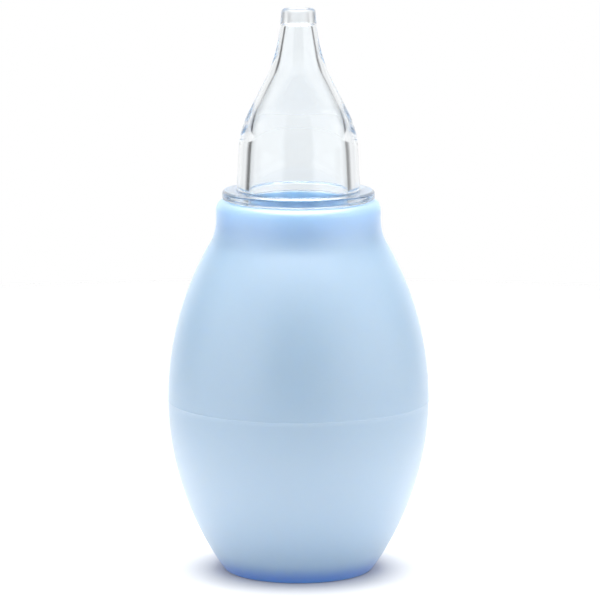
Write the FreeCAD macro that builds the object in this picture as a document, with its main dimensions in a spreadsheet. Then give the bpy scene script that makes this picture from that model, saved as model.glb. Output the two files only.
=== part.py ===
"""Nasal aspirator: a soft squeeze bulb with a clear nozzle pushed into its neck.

Two mouldings, each one solid of revolution about +Z. The origin is the centre of the bulb's base,
where it stands, and lengths are millimetres. The nozzle lifts straight out of the neck along +Z.
"""
import FreeCAD, Part
import math
import os

import Sketcher

# Each driving dimension: alias, value, and what it measures.
DIMENSIONS = [
    # squeeze bulb, outside
    ("bulb_radius", 25.42, "outer radius at the widest level"),
    ("widest_height", 33.9, "height of the widest level"),
    ("base_radius", 14.46, "outer radius where the side meets the base"),
    ("shoulder_height", 66.4, "height where the side meets the neck"),
    ("neck_radius", 15.97, "outer radius of the neck"),
    ("neck_length", 6.67, "straight neck, shoulder to rim"),
    ("neck_blend_round", 9.0, "soft hollow between side and neck"),
    ("rim_outer_round", 1.95, "outer edge of the rim"),
    ("rim_inner_round", 0.45, "mouth edge of the bore"),
    ("base_round", 0.8, "edge of the base"),
    ("dish_radius", 10.5, "shallow dish pressed into the base"),
    ("dish_depth", 0.7, "depth of that dish"),
    # squeeze bulb, inside
    ("bulb_wall", 2.2, "wall of the squeezed part"),
    ("base_wall", 3.0, "height of the cavity's floor"),
    ("neck_wall", 3.87, "thick collar round the bore"),
    ("cavity_floor_round", 4.0, "inside corner over the floor"),
    ("cavity_neck_round", 1.0, "inside edge under the collar"),
    # push fit of the nozzle in the neck
    ("push_fit_clearance", 0.05, "radial, sealing ridge to bore"),
    ("ridge_height", 0.35, "sealing ridge above the spigot"),
    ("ridge_pitch", 2.4, "spacing of the sealing ridges"),
    ("ridge_drop", 2.1, "first ridge below the seat"),
    ("ridge_count", 2, "number of sealing ridges"),
    ("spigot_length", 7.5, "seat to the spigot's end"),
    ("spigot_wall", 1.6, "wall at the spigot's end"),
    ("spigot_lead_round", 0.6, "lead-in of the spigot"),
    # nozzle, outside
    ("flange_setback", 1.17, "flange edge inside the neck's outer face"),
    ("flange_width", 2.8, "flange ledge round the bell"),
    ("flange_thickness", 1.75, "thickness of the flange"),
    ("flange_top_round", 0.6, "upper edge of the flange"),
    ("flange_seat_round", 0.3, "lower edge of the flange"),
    ("bell_foot_round", 0.3, "inside corner of bell and flange"),
    ("nozzle_rise", 35.18, "flange to the end of the tip"),
    ("bell_draft", 0.6, "bell narrows by this up to its shoulder"),
    ("shoulder_rise", 11.7, "flange to the corner of the shoulder"),
    ("shoulder_reach", 3.7, "shoulder's round, from its corner along each wall"),
    ("waist_drop", 8.74, "end of the tip down to the corner of the waist"),
    ("waist_reach", 6.16, "waist's round, from its corner along each wall"),
    ("tip_radius", 3.25, "outer radius of the tip"),
    ("tip_flare", 0.67, "waist corner wider than the tip"),
    ("tip_round", 0.7, "outer edge of the tip"),
    # nozzle, inside
    ("bell_wall", 2.45, "wall at the shoulder, measured across"),
    ("cone_wall", 1.25, "wall of the cone, square to its face"),
    ("tip_wall", 0.9, "wall beside the chamber's ceiling"),
    ("chamber_flare", 1.38, "chamber's waist corner wider than its ceiling"),
    ("lip_length", 2.7, "solid end of the tip over the chamber"),
    ("orifice_radius", 1.6, "suction hole"),
    ("orifice_round", 0.4, "outer edge of the suction hole"),
    ("ceiling_round", 0.8, "inside corner under the lip"),
    ("chamber_shoulder_reach", 3.35, "chamber's shoulder round, from its corner along each wall"),
    ("chamber_waist_reach", 1.65, "chamber's waist round, from its corner along each wall"),
]

# Sizes that several features share, each built from the driving dimensions.
NECK_TOP = "(dims.shoulder_height + dims.neck_length)"
BORE_RADIUS = "(dims.neck_radius - dims.neck_wall)"
RIDGE_RADIUS = f"({BORE_RADIUS} - dims.push_fit_clearance)"
SPIGOT_RADIUS = f"({RIDGE_RADIUS} - dims.ridge_height)"
FLANGE_RADIUS = "(dims.neck_radius - dims.flange_setback)"
BELL_FOOT_RADIUS = f"({FLANGE_RADIUS} - dims.flange_width)"
SHOULDER_RADIUS = f"({BELL_FOOT_RADIUS} - dims.bell_draft)"
NOZZLE_TOP = "(dims.flange_thickness + dims.nozzle_rise)"
CEILING_HEIGHT = f"({NOZZLE_TOP} - dims.lip_length)"

ORIGIN, ROOT_POINT = -1, 1
H_AXIS, V_AXIS = -1, -2
START, END, CENTRE = 1, 2, 3
RING_TOLERANCE = 0.001

doc = FreeCAD.newDocument("nasal_aspirator")
dims = doc.addObject("Spreadsheet::Sheet", "dims")


def fill_sheet():
    """Write the driving dimensions into the sheet, one row each."""
    for row, (alias, value, meaning) in enumerate(DIMENSIONS, start=1):
        dims.set(f"A{row}", str(value))
        dims.setAlias(f"A{row}", alias)
        dims.set(f"B{row}", meaning)
    doc.recompute()


def size(expression):
    """Value of an expression on the sheet, as a plain number."""
    return float(dims.evalExpression(expression))


def point(radius, height):
    """Sketch point from two expressions."""
    return FreeCAD.Vector(size(radius), size(height), 0)


def new_body(label):
    """Empty body with its own label."""
    body = doc.addObject("PartDesign::Body", label)
    body.Label = label
    return body


def new_section(body, name):
    """Sketch on the body's own XZ plane: x is the radius, y is the height."""
    sketch = body.newObject("Sketcher::SketchObject", name)
    plane = next(f for f in body.Origin.OriginFeatures if f.Role == "XZ_Plane")
    sketch.AttachmentSupport = [(plane, "")]
    sketch.MapMode = "FlatFace"
    return sketch


def bind(sketch, name, kind, elements, expression):
    """Add a dimension to a sketch and tie it to an expression on the sheet."""
    index = sketch.addConstraint(Sketcher.Constraint(kind, *elements, size(expression)))
    sketch.renameConstraint(index, name)
    sketch.setExpression(f"Constraints.{name}", expression)


def place(sketch, name, vertex, radius=None, height=None):
    """Set a sketch vertex by its radius and its height above the sketch's origin."""
    for kind, suffix, value, axis in (
        ("DistanceX", "radius", radius, V_AXIS),
        ("DistanceY", "height", height, H_AXIS),
    ):
        if value == "0":
            sketch.addConstraint(Sketcher.Constraint("PointOnObject", *vertex, axis))
        elif value is not None:
            bind(sketch, f"{name}_{suffix}", kind, (ORIGIN, ROOT_POINT, *vertex), value)


def join(sketch, first, second):
    """Make two sketch vertices one."""
    sketch.addConstraint(Sketcher.Constraint("Coincident", *first, *second))


def add_line(sketch, start, end):
    """Add a straight edge and return its number."""
    return sketch.addGeometry(Part.LineSegment(start, end), False)


def add_arc(sketch, centre, start, end):
    """Add an arc that runs anticlockwise from start to end and return its number."""
    circle = Part.Circle(centre, FreeCAD.Vector(0, 0, 1), centre.distanceToPoint(start))
    arc = Part.ArcOfCircle(circle, circle.parameter(start), circle.parameter(end))
    return sketch.addGeometry(arc, False)


def round_corner(sketch, name, before, after, radius):
    """Replace the corner from edge before to edge after with a round of a bound radius."""
    fillet_corner(sketch, before, after, size(radius))
    arc = max(i for i, shape in enumerate(sketch.Geometry) if shape.TypeId == "Part::GeomArcOfCircle")
    bind(sketch, f"{name}_round", "Radius", (arc,), radius)


def fillet_corner(sketch, before, after, radius):
    """Trim two edges with a tangent round, keeping the corner as a construction point."""
    corner = sketch.getPoint(after, START)
    on_before = corner + (sketch.getPoint(before, START) - corner).normalize()
    on_after = corner + (sketch.getPoint(after, END) - corner).normalize()
    sketch.fillet(before, after, on_before, on_after, radius, True, True)


def blend_corner(sketch, name, before, after, reach):
    """Replace a corner with the round that takes up a bound length of the edges beside it."""
    corner = sketch.getPoint(after, START)
    back = sketch.getPoint(before, START) - corner
    ahead = sketch.getPoint(after, END) - corner
    fillet_corner(sketch, before, after, size(reach) * math.tan(back.getAngle(ahead) / 2))
    kept_corner = sketch.GeometryCount - 1
    bind(sketch, f"{name}_reach", "Distance", (kept_corner, START, before, END), reach)


def revolve(body, name, sketch):
    """Turn a section about its own vertical axis."""
    turned = body.newObject("PartDesign::Revolution", name)
    turned.Profile = sketch
    turned.ReferenceAxis = (sketch, ["V_Axis"])
    turned.Angle = 360
    doc.recompute()
    return turned


def ring_edge(feature, radius, height):
    """Name of the circular edge of a feature with this radius at this height."""
    wanted = FreeCAD.Vector(0, 0, size(height))
    for index, edge in enumerate(feature.Shape.Edges, start=1):
        if edge.Degenerated or not isinstance(edge.Curve, Part.Circle):
            continue
        off_centre = edge.Curve.Center.distanceToPoint(wanted)
        if max(off_centre, abs(edge.Curve.Radius - radius)) < RING_TOLERANCE:
            return f"Edge{index}"
    raise ValueError(f"no ring of radius {radius} at {height} on {feature.Name}")


def round_ring(body, base, name, radius, height, round_size):
    """Round one circular edge by a radius tied to the sheet."""
    fillet = body.newObject("PartDesign::Fillet", name)
    fillet.Base = (base, [ring_edge(base, radius, height)])
    fillet.setExpression("Radius", round_size)
    doc.recompute()
    return fillet


def build_bulb():
    """Squeeze bulb: flat base, two long side curves, straight neck with a thick collar."""
    body = new_body("bulb")
    section = new_section(body, "bulb_section")
    widest = point("dims.bulb_radius", "dims.widest_height")
    widest_inside = point("dims.bulb_radius - dims.bulb_wall", "dims.widest_height")
    base_corner = point("dims.base_radius", "0")
    shoulder = point("dims.neck_radius", "dims.shoulder_height")

    def side_centre(end):
        """Centre of the side curve that is upright at the widest level and runs to end."""
        across, along = widest.x - end.x, widest.y - end.y
        return FreeCAD.Vector(widest.x - (across**2 + along**2) / (2 * across), widest.y, 0)

    def inside_at(centre, radius=None, height=None):
        """Point of the inner side curve at a radius or a height on the end's own side."""
        reach = widest_inside.x - centre.x
        if height is not None:
            return FreeCAD.Vector(centre.x + math.sqrt(reach**2 - (height - centre.y) ** 2), height, 0)
        return FreeCAD.Vector(radius, centre.y + math.sqrt(reach**2 - (radius - centre.x) ** 2), 0)

    lower_centre, upper_centre = side_centre(base_corner), side_centre(shoulder)
    floor_corner = inside_at(lower_centre, height=size("dims.base_wall"))
    collar_corner = inside_at(upper_centre, radius=size(BORE_RADIUS))
    dish_edge = point("dims.dish_radius", "0")
    dish_top = point("0", "dims.dish_depth")
    dish_sphere = (dish_edge.x**2 + dish_top.y**2) / (2 * dish_top.y)
    dish_centre = FreeCAD.Vector(0, dish_top.y - dish_sphere, 0)
    rim_outer, rim_inner = point("dims.neck_radius", NECK_TOP), point(BORE_RADIUS, NECK_TOP)
    floor_centre = point("0", "dims.base_wall")

    dish = add_arc(section, dish_centre, dish_edge, dish_top)
    base = add_line(section, dish_edge, base_corner)
    lower = add_arc(section, lower_centre, base_corner, widest)
    upper = add_arc(section, upper_centre, widest, shoulder)
    neck = add_line(section, shoulder, rim_outer)
    rim = add_line(section, rim_outer, rim_inner)
    bore = add_line(section, rim_inner, collar_corner)
    upper_inside = add_arc(section, upper_centre, widest_inside, collar_corner)
    lower_inside = add_arc(section, lower_centre, floor_corner, widest_inside)
    floor = add_line(section, floor_corner, floor_centre)
    core = add_line(section, floor_centre, dish_top)

    for first, second in (
        ((dish, START), (base, START)),
        ((base, END), (lower, START)),
        ((lower, END), (upper, START)),
        ((upper, END), (neck, START)),
        ((neck, END), (rim, START)),
        ((rim, END), (bore, START)),
        ((bore, END), (upper_inside, END)),
        ((upper_inside, START), (lower_inside, END)),
        ((lower_inside, START), (floor, START)),
        ((floor, END), (core, START)),
        ((core, END), (dish, END)),
        ((lower, CENTRE), (lower_inside, CENTRE)),
        ((upper, CENTRE), (upper_inside, CENTRE)),
    ):
        join(section, first, second)
    for side in (lower, upper):
        section.addConstraint(Sketcher.Constraint("Horizontal", side, CENTRE, upper, START))
    section.addConstraint(Sketcher.Constraint("PointOnObject", dish, CENTRE, V_AXIS))

    place(section, "dish_edge", (dish, START), "dims.dish_radius", "0")
    place(section, "dish_top", (dish, END), "0", "dims.dish_depth")
    place(section, "base_corner", (base, END), "dims.base_radius", "0")
    place(section, "widest", (upper, START), "dims.bulb_radius", "dims.widest_height")
    place(section, "shoulder", (neck, START), "dims.neck_radius", "dims.shoulder_height")
    place(section, "rim_outer", (rim, START), "dims.neck_radius", NECK_TOP)
    place(section, "rim_inner", (bore, START), BORE_RADIUS, NECK_TOP)
    place(section, "collar_corner", (bore, END), BORE_RADIUS)
    widest_inside_radius = "dims.bulb_radius - dims.bulb_wall"
    place(section, "widest_inside", (upper_inside, START), widest_inside_radius, "dims.widest_height")
    place(section, "floor_corner", (floor, START), height="dims.base_wall")
    place(section, "floor_centre", (floor, END), "0", "dims.base_wall")

    shell = revolve(body, "bulb_shell", section)
    collar_height = str(section.getPoint(bore, END).y)
    floor_radius = section.getPoint(floor, START).x
    neck_radius, bore_radius = size("dims.neck_radius"), size(BORE_RADIUS)
    rounds = (
        ("neck_blend", neck_radius, "dims.shoulder_height", "dims.neck_blend_round"),
        ("rim_outside", neck_radius, NECK_TOP, "dims.rim_outer_round"),
        ("rim_inside", bore_radius, NECK_TOP, "dims.rim_inner_round"),
        ("base_edge", base_corner.x, "0", "dims.base_round"),
        ("cavity_floor", floor_radius, "dims.base_wall", "dims.cavity_floor_round"),
        ("cavity_neck", bore_radius, collar_height, "dims.cavity_neck_round"),
    )
    for name, radius, height, round_size in rounds:
        shell = round_ring(body, shell, name, radius, height, round_size)
    return body


def build_nozzle():
    """Clear nozzle: hollow spigot, seating flange, bell, cone and blunt tip with its orifice.

    Its own origin is the centre of the seat, where the flange rests on the neck's rim.
    """
    body = new_body("nozzle")
    section = new_section(body, "nozzle_section")
    shoulder_height = "dims.flange_thickness + dims.shoulder_rise"
    waist_height = f"{NOZZLE_TOP} - dims.waist_drop"
    ceiling_radius = "dims.tip_radius - dims.tip_wall"
    inner_waist_radius = f"{ceiling_radius} + dims.chamber_flare"
    inner_shoulder_radius = f"{SHOULDER_RADIUS} - dims.bell_wall"

    # Corners in order: name, radius, height. The cone's wall settles the two heights left out.
    corners = (
        ("spigot_inner", f"{SPIGOT_RADIUS} - dims.spigot_wall", "-dims.spigot_length"),
        ("spigot_outer", SPIGOT_RADIUS, "-dims.spigot_length"),
        ("seat_inner", SPIGOT_RADIUS, "0"),
        ("seat_outer", FLANGE_RADIUS, "0"),
        ("flange_edge", FLANGE_RADIUS, "dims.flange_thickness"),
        ("bell_foot", BELL_FOOT_RADIUS, "dims.flange_thickness"),
        ("shoulder", SHOULDER_RADIUS, shoulder_height),
        ("waist", "dims.tip_radius + dims.tip_flare", waist_height),
        ("tip_edge", "dims.tip_radius", NOZZLE_TOP),
        ("orifice_top", "dims.orifice_radius", NOZZLE_TOP),
        ("orifice_end", "dims.orifice_radius", CEILING_HEIGHT),
        ("ceiling", ceiling_radius, CEILING_HEIGHT),
        ("inner_waist", inner_waist_radius, None),
        ("inner_shoulder", inner_shoulder_radius, None),
    )
    first_height = {"inner_waist": waist_height, "inner_shoulder": shoulder_height}
    vertices = [point(radius, height or first_height[name]) for name, radius, height in corners]
    edges = {}
    for index, (name, _, _) in enumerate(corners):
        edges[name] = add_line(section, vertices[index], vertices[(index + 1) % len(corners)])
    names = list(edges)
    for index, name in enumerate(names):
        join(section, (edges[names[index - 1]], END), (edges[name], START))
    for name, radius, height in corners:
        place(section, name, (edges[name], START), radius, height)

    # The chamber's cone runs beside the outer cone, one wall inside it.
    cone, inner_cone = edges["shoulder"], edges["inner_waist"]
    section.addConstraint(Sketcher.Constraint("Parallel", cone, inner_cone))
    bind(section, "cone_wall", "Distance", (inner_cone, END, cone), "dims.cone_wall")
    doc.recompute()

    for name, reach in (
        ("shoulder", "dims.shoulder_reach"),
        ("waist", "dims.waist_reach"),
        ("inner_waist", "dims.chamber_waist_reach"),
        ("inner_shoulder", "dims.chamber_shoulder_reach"),
    ):
        blend_corner(section, name, edges[names[names.index(name) - 1]], edges[name], reach)
    for name, radius in (
        ("spigot_outer", "dims.spigot_lead_round"),
        ("seat_outer", "dims.flange_seat_round"),
        ("flange_edge", "dims.flange_top_round"),
        ("bell_foot", "dims.bell_foot_round"),
        ("tip_edge", "dims.tip_round"),
        ("orifice_top", "dims.orifice_round"),
        ("ceiling", "dims.ceiling_round"),
    ):
        round_corner(section, name, edges[names[names.index(name) - 1]], edges[name], radius)
    revolve(body, "nozzle_wall", section)

    # Half-round sealing ridges, each a ring half buried in the spigot.
    ridge_section = new_section(body, "ridge_section")
    ridge_centre = point(SPIGOT_RADIUS, "-dims.ridge_drop")
    ring = Part.Circle(ridge_centre, FreeCAD.Vector(0, 0, 1), size("dims.ridge_height"))
    ring_id = ridge_section.addGeometry(ring, False)
    place(ridge_section, "ring_centre", (ring_id, CENTRE), SPIGOT_RADIUS, "-dims.ridge_drop")
    bind(ridge_section, "ring_round", "Radius", (ring_id,), "dims.ridge_height")
    ridge = revolve(body, "sealing_ridge", ridge_section)
    ridges = body.newObject("PartDesign::LinearPattern", "sealing_ridges")
    ridges.Originals = [ridge]
    ridges.Direction = (ridge_section, ["V_Axis"])
    ridges.Reversed = True
    ridges.setExpression("Length", "dims.ridge_pitch * (dims.ridge_count - 1)")
    ridges.setExpression("Occurrences", "dims.ridge_count")
    body.Tip = ridges

    body.setExpression("Placement.Base.z", NECK_TOP)
    doc.recompute()
    return body


def check_document(parts):
    """Stop if an object failed to compute, or a part isn't one valid solid."""
    for thing in doc.Objects:
        if {"Invalid", "Error"} & set(thing.State):
            raise RuntimeError(f"{thing.Name} failed: {thing.State}")
    for part in parts:
        shape = part.Shape
        if shape.isNull() or not shape.isValid() or len(shape.Solids) != 1:
            raise RuntimeError(f"{part.Label} is not one valid solid")


def main():
    """Build both pieces, check them and write one STEP file for each."""
    fill_sheet()
    parts = [build_bulb(), build_nozzle()]
    doc.recompute()
    check_document(parts)
    os.makedirs("parts", exist_ok=True)
    for part in parts:
        part.Shape.exportStep(f"parts/{part.Label}.step")
        box = part.Shape.BoundBox
        print(f"{part.Label}: volume {part.Shape.Volume:.1f}, height {box.ZMin:.2f} to {box.ZMax:.2f}")


main()
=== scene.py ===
"""Looks of the nasal aspirator: a soft blue squeeze bulb and its clear push-fit nozzle.

Both pieces are solids of revolution about +Z. Each is drawn as half a section with a pen that uses
bmesh operators, spun into a closed wall and dressed with a procedural material. Metres throughout,
except that the sizes of the two pieces are written in millimetres, as a drawing gives them.
"""
from __future__ import annotations

import logging
import math
from dataclasses import dataclass, field
from enum import Enum

import bmesh
import bpy
from mathutils import Matrix, Vector

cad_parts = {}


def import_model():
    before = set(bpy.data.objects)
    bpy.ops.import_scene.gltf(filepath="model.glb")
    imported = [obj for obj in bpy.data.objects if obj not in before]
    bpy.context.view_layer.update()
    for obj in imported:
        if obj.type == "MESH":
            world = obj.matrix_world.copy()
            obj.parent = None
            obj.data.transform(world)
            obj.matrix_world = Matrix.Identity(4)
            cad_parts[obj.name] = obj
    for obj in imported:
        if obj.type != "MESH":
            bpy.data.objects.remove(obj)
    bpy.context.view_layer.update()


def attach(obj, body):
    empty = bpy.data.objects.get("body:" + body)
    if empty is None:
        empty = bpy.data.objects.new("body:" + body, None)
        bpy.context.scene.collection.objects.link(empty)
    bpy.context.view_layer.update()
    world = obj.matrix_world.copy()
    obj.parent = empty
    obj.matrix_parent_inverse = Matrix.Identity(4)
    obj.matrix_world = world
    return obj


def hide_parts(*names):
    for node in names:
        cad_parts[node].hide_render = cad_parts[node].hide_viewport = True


MM = 0.001
log = logging.getLogger("nasal_aspirator")

Colour = tuple[float, float, float]


class Body(Enum):
    """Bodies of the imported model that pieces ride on."""

    BULB = "bulb"
    NOZZLE = "nozzle"


class Slot(Enum):
    """Material slots of the pieces."""

    SOFT = "soft_blue_plastic"
    CLEAR = "clear_plastic"


# ---------------------------------------------------------------- shader maths


class Signal:
    """A node's output socket that can be used in sums, products and powers."""

    def __init__(self, bench: NodeBench, socket: bpy.types.NodeSocket) -> None:
        """Wrap a socket of the bench's node tree."""
        self.bench = bench
        self.socket = socket

    def _math(self, operation: str, *values: Signal | float) -> Signal:
        """Add a Math node over the given values."""
        return self.bench.node("ShaderNodeMath", {"operation": operation}, dict(enumerate(values)))

    def __add__(self, other: Signal | float) -> Signal:
        """Sum."""
        return self._math("ADD", self, other)

    __radd__ = __add__

    def __sub__(self, other: Signal | float) -> Signal:
        """Difference."""
        return self._math("SUBTRACT", self, other)

    def __rsub__(self, other: float) -> Signal:
        """Difference, with the number first."""
        return self._math("SUBTRACT", other, self)

    def __mul__(self, other: Signal | float) -> Signal:
        """Product."""
        return self._math("MULTIPLY", self, other)

    __rmul__ = __mul__

    def __truediv__(self, other: Signal | float) -> Signal:
        """Quotient."""
        return self._math("DIVIDE", self, other)

    def __pow__(self, other: float) -> Signal:
        """Power."""
        return self._math("POWER", self, other)

    def step(self, low: float, high: float) -> Signal:
        """Smooth step from 0 at low to 1 at high.

        Args:
            low: value where the step starts.
            high: value where the step ends.

        Returns:
            The step as a signal from 0 to 1.
        """
        return self.bench.node(
            "ShaderNodeMapRange",
            {"interpolation_type": "SMOOTHSTEP"},
            {"Value": self, "From Min": low, "From Max": high},
        )


class NodeBench:
    """A node tree that is filled by one method."""

    def __init__(self, tree: bpy.types.NodeTree) -> None:
        """Start with an empty tree."""
        self.tree = tree
        tree.nodes.clear()

    def node(
        self,
        kind: str,
        settings: dict[str, object] | None = None,
        inputs: dict[str | int, object] | None = None,
        output: str | int = 0,
    ) -> Signal:
        """Add a node, set it up and feed its sockets.

        Args:
            kind: the node's type.
            settings: its own properties, set first; a ramp's stops are pairs under "stops".
            inputs: socket name or number to a value or a signal.
            output: the socket to give back.

        Returns:
            The chosen output as a signal.
        """
        made = self.tree.nodes.new(kind)
        for name, value in (settings or {}).items():
            if name == "stops":
                self._set_stops(made.color_ramp, value)
            else:
                setattr(made, name, value)
        for name, value in (inputs or {}).items():
            socket = made.inputs[name]
            if isinstance(value, Signal):
                self.tree.links.new(value.socket, socket)
            else:
                socket.default_value = value
        outputs = made.outputs
        return Signal(self, outputs[output] if len(outputs) else None)

    @staticmethod
    def _set_stops(ramp: bpy.types.ColorRamp, stops: list[tuple[float, Colour]]) -> None:
        """Give a colour ramp its stops.

        Args:
            ramp: the ramp to fill.
            stops: pairs of a place from 0 to 1 and a colour, in order.
        """
        while len(ramp.elements) > 1:
            ramp.elements.remove(ramp.elements[-1])
        for index, (place, colour) in enumerate(stops):
            element = ramp.elements[0] if index == 0 else ramp.elements.new(place)
            element.position = place
            element.color = (*colour, 1.0)

    def axes(self, coordinates: Signal) -> tuple[Signal, Signal, Signal]:
        """Split a vector into its three axes."""
        split = self.node("ShaderNodeSeparateXYZ", None, {0: coordinates})
        return tuple(Signal(self, split.socket.node.outputs[axis]) for axis in range(3))

    def blend(self, share: Signal | float, first: object, second: object) -> Signal:
        """Mix two colours.

        Args:
            share: 0 for all of the first colour, 1 for all of the second.
            first: a colour or a signal.
            second: a colour or a signal.

        Returns:
            The mixed colour.
        """
        return self.node(
            "ShaderNodeMix",
            {"data_type": "RGBA"},
            {"Factor": share, 6: first, 7: second},
            output=2,
        )

    def noise(self, where: Signal, scale: float, detail: float) -> Signal:
        """Fractal noise with a given scale per metre."""
        inputs = {"Vector": where, "Scale": scale, "Detail": detail}
        return self.node("ShaderNodeTexNoise", None, inputs, output="Fac")


def rgba(colour: Colour) -> tuple[float, float, float, float]:
    """Opaque colour with its alpha."""
    return (*colour, 1.0)


# ---------------------------------------------------------------- finishes


@dataclass(frozen=True)
class SoftPlasticFinish:
    """Satin, slightly see-through pale blue plastic of the squeeze bulb, with painted shade on the neck
    and at the foot.
    """

    name: str = "soft_blue_plastic"
    body_colour: Colour = (0.22, 0.38, 0.65)
    # Painted shade of the upright neck; the same colour also carries the random flow tone.
    neck_shade_and_flow_colour: Colour = (0.17, 0.34, 0.64)
    # Painted contact shade at the foot, where the bulb stands on the floor.
    contact_shade_colour: Colour = (0.0, 0.14, 0.58)
    contact_shade_blend: float = 4.5 * MM
    neck_shade_height: float = 66.0 * MM
    neck_shade_blend: float = 6.0 * MM
    neck_shade_share: float = 0.6
    roughness: float = 0.45
    roughness_spread: float = 0.10
    grain_scale: float = 2600.0
    grain_detail: float = 4.0
    grain_depth: float = 0.004 * MM
    grain_roughness: float = 0.06
    flow_scale: float = 60.0
    flow_detail: float = 3.0
    flow_share: float = 0.3
    ior: float = 1.6
    coat_roughness: float = 0.5
    coat_ior: float = 2.0
    sheen: float = 0.2
    sheen_roughness: float = 0.5
    scatter_weight: float = 1.0
    scatter_distance: float = 18.0 * MM
    scatter_radius: Colour = (0.7, 0.85, 1.0)

    def material(self) -> bpy.types.Material:
        """Build the material.

        Returns:
            The material, ready to be used.
        """
        made = bpy.data.materials.new(self.name)
        made.use_nodes = True
        bench = NodeBench(made.node_tree)
        where = bench.node("ShaderNodeTexCoord", output="Object")
        height = bench.axes(where)[2]
        # Painted shade: above the shoulder the neck is darkened toward the neck shade colour, with
        # random flow tone mixed in.
        neck_shade = height.step(self.neck_shade_height - self.neck_shade_blend, self.neck_shade_height)
        flow = bench.noise(where, self.flow_scale, self.flow_detail)
        neck_shade_and_flow = neck_shade * self.neck_shade_share + flow * self.flow_share
        wall = bench.blend(neck_shade_and_flow, rgba(self.body_colour), rgba(self.neck_shade_and_flow_colour))
        # Painted contact shade: the lowest few millimetres darken to a deep blue where the bulb meets
        # the floor.
        colour = bench.blend(height.step(0.0, self.contact_shade_blend), rgba(self.contact_shade_colour), wall)
        grain = bench.noise(where, self.grain_scale, self.grain_detail)
        spread = (flow - 0.5) * self.roughness_spread
        rough = spread + grain * self.grain_roughness + self.roughness
        bump = bench.node(
            "ShaderNodeBump",
            None,
            {"Strength": 1.0, "Distance": self.grain_depth, "Height": grain},
        )
        shader = bench.node(
            "ShaderNodeBsdfPrincipled",
            None,
            {
                "Base Color": colour,
                "Roughness": rough,
                "IOR": self.ior,
                "Specular IOR Level": 1.0,
                "Coat Weight": 1.0,
                "Coat Roughness": self.coat_roughness,
                "Coat IOR": self.coat_ior,
                "Sheen Weight": self.sheen,
                "Sheen Roughness": self.sheen_roughness,
                "Subsurface Weight": self.scatter_weight,
                "Subsurface Radius": self.scatter_radius,
                "Subsurface Scale": self.scatter_distance,
                "Normal": bump,
            },
        )
        bench.node("ShaderNodeOutputMaterial", None, {"Surface": shader})
        return made


@dataclass(frozen=True)
class ClearPlasticFinish:
    """Clear, polished, rigid plastic of the nozzle, with faint flow marks from its mould."""

    name: str = "clear_plastic"
    tint: Colour = (0.93, 0.955, 0.97)
    ior: float = 1.5
    roughness: float = 0.03
    tip_roughness: float = 0.3
    spigot_roughness: float = 0.4
    spigot_end: float = 73.0 * MM
    spigot_blend: float = 0.2 * MM
    tip_start: float = 106.6 * MM
    tip_end: float = 107.6 * MM
    ripple_scale: float = 140.0
    ripple_detail: float = 1.0
    ripple_strength: float = 0.5
    ripple_depth: float = 0.01 * MM

    def material(self) -> bpy.types.Material:
        """Build the material.

        Returns:
            The material, ready to be used.
        """
        made = bpy.data.materials.new(self.name)
        made.use_nodes = True
        bench = NodeBench(made.node_tree)
        where = bench.node("ShaderNodeTexCoord", output="Object")
        height = bench.axes(where)[2]
        tip = height.step(self.tip_start, self.tip_end) * self.tip_roughness
        spigot = 1.0 - height.step(self.spigot_end, self.spigot_end + self.spigot_blend)
        ripple = bench.noise(where, self.ripple_scale, self.ripple_detail)
        bump = bench.node(
            "ShaderNodeBump",
            None,
            {"Strength": self.ripple_strength, "Distance": self.ripple_depth, "Height": ripple},
        )
        shader = bench.node(
            "ShaderNodeBsdfPrincipled",
            None,
            {
                "Base Color": rgba(self.tint),
                "Roughness": tip + spigot * self.spigot_roughness + self.roughness,
                "IOR": self.ior,
                "Transmission Weight": 1.0,
                "Normal": bump,
            },
        )
        bench.node("ShaderNodeOutputMaterial", None, {"Surface": shader})
        return made


@dataclass(frozen=True)
class FloorFinish:
    """White table top with a painted pool of light: lighter in the middle, fading to the border."""

    name: str = "white_table"
    # Painted pool of light: the middle is lighter than the border.
    middle: Colour = (0.70, 0.70, 0.70)
    border: Colour = (0.415, 0.415, 0.415)
    fade_start: float = 0.05
    fade_end: float = 0.16

    def material(self) -> bpy.types.Material:
        """Build the material.

        Returns:
            The material, ready to be used.
        """
        made = bpy.data.materials.new(self.name)
        made.use_nodes = True
        bench = NodeBench(made.node_tree)
        x, y, _ = bench.axes(bench.node("ShaderNodeTexCoord", output="Object"))
        # Painted pool of light, fading out with distance from the middle.
        painted_light_fade = ((x * x + y * y) ** 0.5).step(self.fade_start, self.fade_end)
        colour = bench.blend(painted_light_fade, rgba(self.middle), rgba(self.border))
        shader = bench.node("ShaderNodeBsdfDiffuse", None, {"Color": colour})
        bench.node("ShaderNodeOutputMaterial", None, {"Surface": shader})
        return made


# ---------------------------------------------------------------- turned outlines


@dataclass(frozen=True)
class Corner:
    """A corner of a section: radius, height and how far its round reaches along each side, in mm."""

    radius: float
    height: float
    reach: float = 0.0

    @property
    def place(self) -> Vector:
        """The corner in the XZ plane, in metres."""
        return Vector((self.radius, 0, self.height)) * MM


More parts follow.
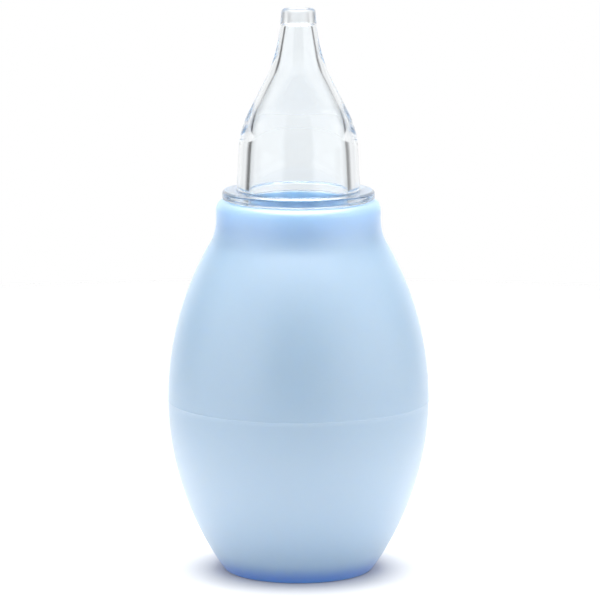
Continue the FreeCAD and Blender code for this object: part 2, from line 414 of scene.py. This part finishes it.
class SectionPen:
    """Draws half a section in the XZ plane with bmesh operators and spins it about +Z."""

    turn_step = math.radians(7.5)
    longest_step = 0.9 * MM
    least_run = 1e-9
    least_turn = 1e-6
    merge_distance = 1e-7

    def __init__(self, start: Vector) -> None:
        """Put the pen down.

        Args:
            start: first point, in metres.
        """
        self.mesh = bmesh.new()
        self.first = self.tip = self.mesh.verts.new(start)

    def line_to(self, end: Vector) -> None:
        """Draw a straight wall to a point, in short steps.

        Args:
            end: where the wall stops, in metres.
        """
        run = end - self.tip.co
        if run.length < self.least_run:
            return
        steps = max(1, math.ceil(run.length / self.longest_step))
        for _ in range(steps):
            drawn = bmesh.ops.extrude_vert_indiv(self.mesh, verts=[self.tip])
            self.tip = drawn["verts"][0]
            bmesh.ops.translate(self.mesh, verts=[self.tip], vec=run / steps)

    def arc_to(self, centre: Vector, end: Vector) -> None:
        """Draw an arc round a centre to a point, the shorter way.

        Args:
            centre: centre of the arc, in metres.
            end: where the arc stops, in metres.
        """
        start_arm, end_arm = self.tip.co - centre, end - centre
        angle = start_arm.angle(end_arm)
        if angle < self.least_turn:
            return
        steps = max(
            math.ceil(angle / self.turn_step),
            math.ceil(angle * start_arm.length / self.longest_step),
        )
        drawn = bmesh.ops.spin(
            self.mesh,
            geom=[self.tip],
            cent=centre,
            axis=start_arm.cross(end_arm).normalized(),
            angle=angle,
            steps=steps,
        )
        self.tip = next(g for g in drawn["geom_last"] if isinstance(g, bmesh.types.BMVert))

    def round_corners(self, corners: list[Corner]) -> None:
        """Draw straight walls through corners, with a round at each corner that has a reach.

        Args:
            corners: the corners after the pen's place; the last one is where the pen stops.
        """
        for index, corner in enumerate(corners[:-1]):
            back = (self.tip.co - corner.place).normalized()
            ahead = (corners[index + 1].place - corner.place).normalized()
            reach = corner.reach * MM
            half = back.angle(ahead) / 2
            self.line_to(corner.place + back * reach)
            if reach:
                centre = corner.place + (back + ahead).normalized() * (reach / math.cos(half))
                self.arc_to(centre, corner.place + ahead * reach)
        self.line_to(corners[-1].place)

    def spin(self, steps: int, closed: bool) -> bmesh.types.BMesh:
        """Spin the section a full turn about +Z into a closed wall.

        Args:
            steps: flats round the turn.
            closed: True if the section's last point is also its first.

        Returns:
            The mesh, with its doubles merged and its faces outward.
        """
        if closed:
            bmesh.ops.remove_doubles(self.mesh, verts=self.mesh.verts[:], dist=self.merge_distance)
        bmesh.ops.spin(
            self.mesh,
            geom=self.mesh.verts[:] + self.mesh.edges[:],
            cent=(0, 0, 0),
            axis=(0, 0, 1),
            angle=math.tau,
            steps=steps,
            use_merge=True,
        )
        bmesh.ops.remove_doubles(self.mesh, verts=self.mesh.verts[:], dist=self.merge_distance)
        bmesh.ops.recalc_face_normals(self.mesh, faces=self.mesh.faces[:])
        return self.mesh


@dataclass
class TurnedPiece:
    """A piece turned about +Z. Sizes are in millimetres."""

    name: str = ""
    body: Body = Body.BULB
    slot: Slot = Slot.SOFT
    flats: int = 192
    crease: float = math.radians(35)

    def finish_piece(self, mesh: bmesh.types.BMesh, material: bpy.types.Material) -> bpy.types.Object:
        """Make the object, shade it smooth with crisp creases, dress it and hand it to its body.

        Args:
            mesh: the finished shape.
            material: its finish.

        Returns:
            The object in the scene.
        """
        for face in mesh.faces:
            face.smooth = True
        for edge in mesh.edges:
            edge.smooth = not edge.is_manifold or edge.calc_face_angle() < self.crease
        data = bpy.data.meshes.new(self.name)
        mesh.to_mesh(data)
        mesh.free()
        data.materials.append(material)
        piece = bpy.data.objects.new(self.name, data)
        bpy.context.scene.collection.objects.link(piece)
        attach(piece, self.body.value)
        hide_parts(self.body.value)
        log.info("%s: %d faces", self.name, len(data.polygons))
        return piece


@dataclass
class SqueezeBulb(TurnedPiece):
    """Soft bulb: flat base with a shallow dish, two long side curves, thick-walled neck."""

    name: str = "squeeze_bulb"
    bulb_radius: float = 25.42
    widest_height: float = 33.9
    base_radius: float = 14.46
    shoulder_height: float = 66.4
    neck_radius: float = 15.97
    neck_top: float = 73.07
    neck_blend_round: float = 9.0
    rim_outer_round: float = 1.95
    rim_inner_round: float = 0.45
    base_round: float = 0.8
    dish_radius: float = 10.5
    dish_depth: float = 0.7
    bulb_wall: float = 2.2
    base_wall: float = 3.0
    neck_wall: float = 3.87
    seam_height: float = 33.7
    seam_half_width: float = 0.16
    seam_proud: float = 0.065
    finish: SoftPlasticFinish = field(default_factory=SoftPlasticFinish)

    def side_centre(self, radius: float, height: float) -> Vector:
        """Centre of the side curve that is upright at the widest level and passes a point.

        Args:
            radius: radius of that point.
            height: height of that point.

        Returns:
            The centre in the XZ plane, in millimetres.
        """
        across, along = self.bulb_radius - radius, self.widest_height - height
        reach = (across**2 + along**2) / (2 * across)
        return Vector((self.bulb_radius - reach, 0, self.widest_height))

    def build(self) -> bpy.types.Object:
        """Draw, spin and dress the bulb.

        Returns:
            The object in the scene.
        """
        low = self.side_centre(self.base_radius, 0.0)
        high = self.side_centre(self.neck_radius, self.shoulder_height)
        pen = self._outside(low, high)
        self._inside(pen, low, high)
        return self.finish_piece(pen.spin(self.flats, closed=False), self.finish.material())

    def _outside(self, low: Vector, high: Vector) -> SectionPen:
        """Draw the outer face from the dish up to the neck.

        Args:
            low: centre of the lower side curve, in millimetres.
            high: centre of the upper side curve, in millimetres.

        Returns:
            The pen, stopped where the neck becomes straight.
        """
        dish_reach = (self.dish_radius**2 + self.dish_depth**2) / (2 * self.dish_depth)
        dish_centre = Vector((0, 0, self.dish_depth - dish_reach))
        pen = SectionPen(Vector((0, 0, self.dish_depth)) * MM)
        pen.arc_to(dish_centre * MM, Vector((self.dish_radius, 0, 0)) * MM)

        # The base's round touches the flat base and the lower side curve from inside.
        low_reach = self.bulb_radius - low.x
        foot = Vector((0, 0, self.base_round))
        foot.x = low.x + math.sqrt((low_reach - self.base_round) ** 2 - (low.z - foot.z) ** 2)
        pen.line_to(Vector((foot.x, 0, 0)) * MM)
        pen.arc_to(foot * MM, (foot + (foot - low).normalized() * self.base_round) * MM)

        # Lower side up to the seam, a thin raised line, and on to the widest level.
        for height, proud in (
            (self.seam_height - self.seam_half_width, 0.0),
            (self.seam_height, self.seam_proud),
            (self.seam_height + self.seam_half_width, 0.0),
        ):
            reach = low_reach + proud
            side = Vector((low.x + math.sqrt(reach**2 - (height - low.z) ** 2), 0, height))
            if proud == 0.0 and height < self.seam_height:
                pen.arc_to(low * MM, side * MM)
            else:
                pen.line_to(side * MM)
        pen.arc_to(low * MM, Vector((self.bulb_radius, 0, self.widest_height)) * MM)

        # Upper side, the soft hollow that touches it and the neck, the neck and its rim.
        high_reach = self.bulb_radius - high.x
        hollow = Vector((self.neck_radius + self.neck_blend_round, 0, 0))
        hollow.z = high.z + math.sqrt(
            (high_reach + self.neck_blend_round) ** 2 - (hollow.x - high.x) ** 2
        )
        pen.arc_to(high * MM, (high + (hollow - high).normalized() * high_reach) * MM)
        pen.arc_to(hollow * MM, Vector((self.neck_radius, 0, hollow.z)) * MM)
        return pen

    def _inside(self, pen: SectionPen, low: Vector, high: Vector) -> None:
        """Draw the rim, the bore and the cavity down to the middle of its floor.

        Args:
            pen: the pen, stopped where the neck becomes straight.
            low: centre of the lower side curve, in millimetres.
            high: centre of the upper side curve, in millimetres.
        """
        bore = self.neck_radius - self.neck_wall
        inner_high = self.bulb_radius - self.bulb_wall - high.x
        collar_end = high.z + math.sqrt(inner_high**2 - (bore - high.x) ** 2)
        pen.round_corners(
            [
                Corner(self.neck_radius, self.neck_top, self.rim_outer_round),
                Corner(bore, self.neck_top, self.rim_inner_round),
                Corner(bore, collar_end),
            ]
        )
        inner_low = self.bulb_radius - self.bulb_wall - low.x
        floor_radius = low.x + math.sqrt(inner_low**2 - (self.base_wall - low.z) ** 2)
        widest = Vector((self.bulb_radius - self.bulb_wall, 0, self.widest_height))
        pen.arc_to(high * MM, widest * MM)
        pen.arc_to(low * MM, Vector((floor_radius, 0, self.base_wall)) * MM)
        pen.line_to(Vector((0, 0, self.base_wall)) * MM)


@dataclass
class Nozzle(TurnedPiece):
    """Clear nozzle: spigot with sealing ridges, flange, bell, cone and blunt tip."""

    name: str = "clear_nozzle"
    body: Body = Body.NOZZLE
    slot: Slot = Slot.CLEAR
    seat_height: float = 73.07
    seat_gap: float = 0.03
    flange_radius: float = 14.8
    flange_thickness: float = 1.75
    flange_top_round: float = 0.6
    flange_seat_round: float = 0.3
    spigot_radius: float = 11.7
    spigot_length: float = 7.5
    spigot_wall: float = 1.6
    spigot_lead_round: float = 0.6
    ridge_height: float = 0.35
    ridge_drop: float = 2.1
    ridge_pitch: float = 2.4
    ridge_count: int = 2
    foot_radius: float = 12.0
    foot_round: float = 0.3
    shoulder: Corner = Corner(11.4, 13.45, 3.7)
    waist: Corner = Corner(3.92, 28.19, 6.16)
    tip: Corner = Corner(3.25, 36.93, 0.7)
    orifice_radius: float = 1.6
    orifice_round: float = 0.4
    lip_length: float = 2.7
    ceiling_round: float = 0.8
    tip_wall: float = 0.9
    chamber_flare: float = 1.38
    chamber_waist_reach: float = 1.65
    chamber_shoulder_reach: float = 3.35
    bell_wall: float = 2.45
    cone_wall: float = 1.25
    outline_step: float = 0.5
    finish: ClearPlasticFinish = field(default_factory=ClearPlasticFinish)

    def chamber_corner(self, radius: float, reach: float) -> Corner:
        """Corner of the chamber's cone at a radius, one cone wall inside the outer cone.

        Args:
            radius: radius of the corner.
            reach: how far its round reaches.

        Returns:
            The corner, with its height above the seat.
        """
        rise = self.waist.height - self.shoulder.height
        narrowing = (self.shoulder.radius - self.waist.radius) / rise
        wall_across = self.cone_wall * math.hypot(1.0, narrowing)
        height = self.shoulder.height + (self.shoulder.radius - wall_across - radius) / narrowing
        return Corner(radius, height, reach)

    def corners(self) -> list[Corner]:
        """Corners of the whole section, from the spigot's outer end up and back down the inside.

        Returns:
            The corners in order, with heights above the seat.
        """
        thick, top = self.flange_thickness, self.tip.height
        ceiling = Corner(self.tip.radius - self.tip_wall, top - self.lip_length, self.ceiling_round)
        inner_waist = self.chamber_corner(ceiling.radius + self.chamber_flare, self.chamber_waist_reach)
        inner_shoulder = self.chamber_corner(
            self.shoulder.radius - self.bell_wall, self.chamber_shoulder_reach
        )
        mouth = Corner(self.spigot_radius - self.spigot_wall, -self.spigot_length)
        return [
            Corner(self.spigot_radius, -self.spigot_length, self.spigot_lead_round),
            *self._ridges(),
            Corner(self.spigot_radius, self.seat_gap),
            Corner(self.flange_radius, self.seat_gap, self.flange_seat_round),
            Corner(self.flange_radius, thick, self.flange_top_round),
            Corner(self.foot_radius, thick, self.foot_round),
            self.shoulder,
            self.waist,
            self.tip,
            Corner(self.orifice_radius, top, self.orifice_round),
            Corner(self.orifice_radius, ceiling.height),
            ceiling,
            inner_waist,
            inner_shoulder,
            mouth,
        ]

    def _ridges(self) -> list[Corner]:
        """Sealing ridges, lowest first, each a bump whose three corners are rounded.

        Returns:
            Three corners for each ridge, with heights above the seat.
        """
        ridges = []
        for index in reversed(range(self.ridge_count)):
            level = -self.ridge_drop - index * self.ridge_pitch
            for side in (-1, 0, 1):
                radius = self.spigot_radius + (self.ridge_height if side == 0 else 0.0)
                height = level + side * self.ridge_height
                ridges.append(Corner(radius, height, self.ridge_height / 4))
        return ridges

    def build(self) -> bpy.types.Object:
        """Draw, spin and dress the nozzle.

        Returns:
            The object in the scene.
        """
        lift = Matrix.Translation((0, 0, self.seat_height * MM))
        corners = self.corners()
        pen = SectionPen(corners[-1].place)
        pen.longest_step = self.outline_step * MM
        pen.round_corners(corners)
        mesh = pen.spin(self.flats, closed=True)
        bmesh.ops.transform(mesh, matrix=lift, verts=mesh.verts[:])
        return self.finish_piece(mesh, self.finish.material())


# ---------------------------------------------------------------- studio


@dataclass(frozen=True)
class StudioRoom:
    """Light that comes from all round: white behind, soft boxes at both sides, dim at the camera.

    The stops run over the azimuth, from 0 straight behind the object to 1 at the camera.
    """

    brightest: float = 2.0
    overhead: float = 0.50
    overhead_low: float = 0.30
    overhead_high: float = 0.65
    side_blend: float = 0.2
    pole_guard: float = 1e-4
    left: tuple[tuple[float, float], ...] = (
        (0.00, 0.50), (0.10, 0.50), (0.17, 0.07), (0.28, 0.05),
        (0.40, 0.60), (0.915, 0.75), (0.94, 0.22),
    )
    right: tuple[tuple[float, float], ...] = (
        (0.00, 0.50), (0.10, 0.50), (0.17, 0.13), (0.28, 0.13),
        (0.38, 0.70), (0.915, 0.80), (0.94, 0.22),
    )

    def build(self) -> None:
        """Make the world; the camera itself sees plain white."""
        world = bpy.data.worlds.new("white_room")
        bpy.context.scene.world = world
        world.use_nodes = True
        bench = NodeBench(world.node_tree)
        x, y, z = bench.axes(bench.node("ShaderNodeTexCoord", output="Generated"))
        level = (x * x + y * y) ** 0.5 + self.pole_guard
        azimuth = 0.5 - y / level * 0.5
        sides = [
            bench.node(
                "ShaderNodeValToRGB",
                {"stops": [(place, (light,) * 3) for place, light in stops]},
                {"Fac": azimuth},
            )
            for stops in (self.left, self.right)
        ]
        walls = bench.blend((x / level).step(-self.side_blend, self.side_blend), *sides)
        height = z.step(self.overhead_low, self.overhead_high)
        room = bench.blend(height, walls, rgba((self.overhead,) * 3))
        seen = bench.node("ShaderNodeLightPath", output="Is Camera Ray")
        colour = bench.blend(seen, room, rgba((1 / self.brightest,) * 3))
        background = bench.node(
            "ShaderNodeBackground", None, {"Color": colour, "Strength": self.brightest}
        )
        bench.node("ShaderNodeOutputWorld", None, {"Surface": background})


@dataclass
class Studio:
    """White floor, soft light all round and the camera."""

    floor_radius: float = 0.36
    floor_sides: int = 96
    camera_distance: float = 0.7718
    camera_height: float = 0.1799
    aim_height: float = 0.05317
    lens: float = 241.1
    shift_x: float = 0.0026
    film_width: float = 36.0
    nearest: float = 0.01
    key_size: float = 0.7
    key_back: float = 0.08
    key_height: float = 0.75
    key_power: float = 12.0
    bounces: int = 32
    room: StudioRoom = field(default_factory=StudioRoom)

    def build(self) -> None:
        """Set up everything round the object."""
        self._floor()
        self.room.build()
        self._key_light()
        self._camera()
        scene = bpy.context.scene
        scene.view_settings.view_transform = "Standard"
        for kind in ("max", "glossy", "transmission", "diffuse"):
            setattr(scene.cycles, f"{kind}_bounces", self.bounces)

    def _floor(self) -> None:
        """Round white table top at the object's base."""
        mesh = bmesh.new()
        bmesh.ops.create_circle(mesh, cap_ends=True, radius=self.floor_radius, segments=self.floor_sides)
        data = bpy.data.meshes.new("floor")
        mesh.to_mesh(data)
        mesh.free()
        data.materials.append(FloorFinish().material())
        floor = bpy.data.objects.new("floor", data)
        bpy.context.scene.collection.objects.link(floor)

    def _key_light(self) -> None:
        """Large soft box overhead."""
        lamp = bpy.data.lights.new("overhead_softbox", "AREA")
        lamp.shape = "SQUARE"
        lamp.size = self.key_size
        lamp.energy = self.key_power
        light = bpy.data.objects.new("overhead_softbox", lamp)
        light.location = (0, self.key_back, self.key_height)
        bpy.context.scene.collection.objects.link(light)

    def _camera(self) -> None:
        """Long-lens camera a little above the object."""
        lens = bpy.data.cameras.new("camera")
        lens.lens = self.lens
        lens.sensor_width = self.film_width
        lens.shift_x = self.shift_x
        lens.clip_start = self.nearest
        camera = bpy.data.objects.new("camera", lens)
        camera.location = (0, -self.camera_distance, self.camera_height)
        view = Vector((0, 0, self.aim_height)) - camera.location
        camera.rotation_euler = view.to_track_quat("-Z", "Y").to_euler()
        bpy.context.scene.collection.objects.link(camera)
        bpy.context.scene.camera = camera


def main() -> None:
    """Load the frame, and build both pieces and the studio."""
    logging.basicConfig(level=logging.INFO, format="%(name)s: %(message)s")
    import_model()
    Studio().build()
    for piece in (SqueezeBulb(), Nozzle()):
        piece.build()
    bpy.context.view_layer.update()


if __name__ == "__main__":
    main()
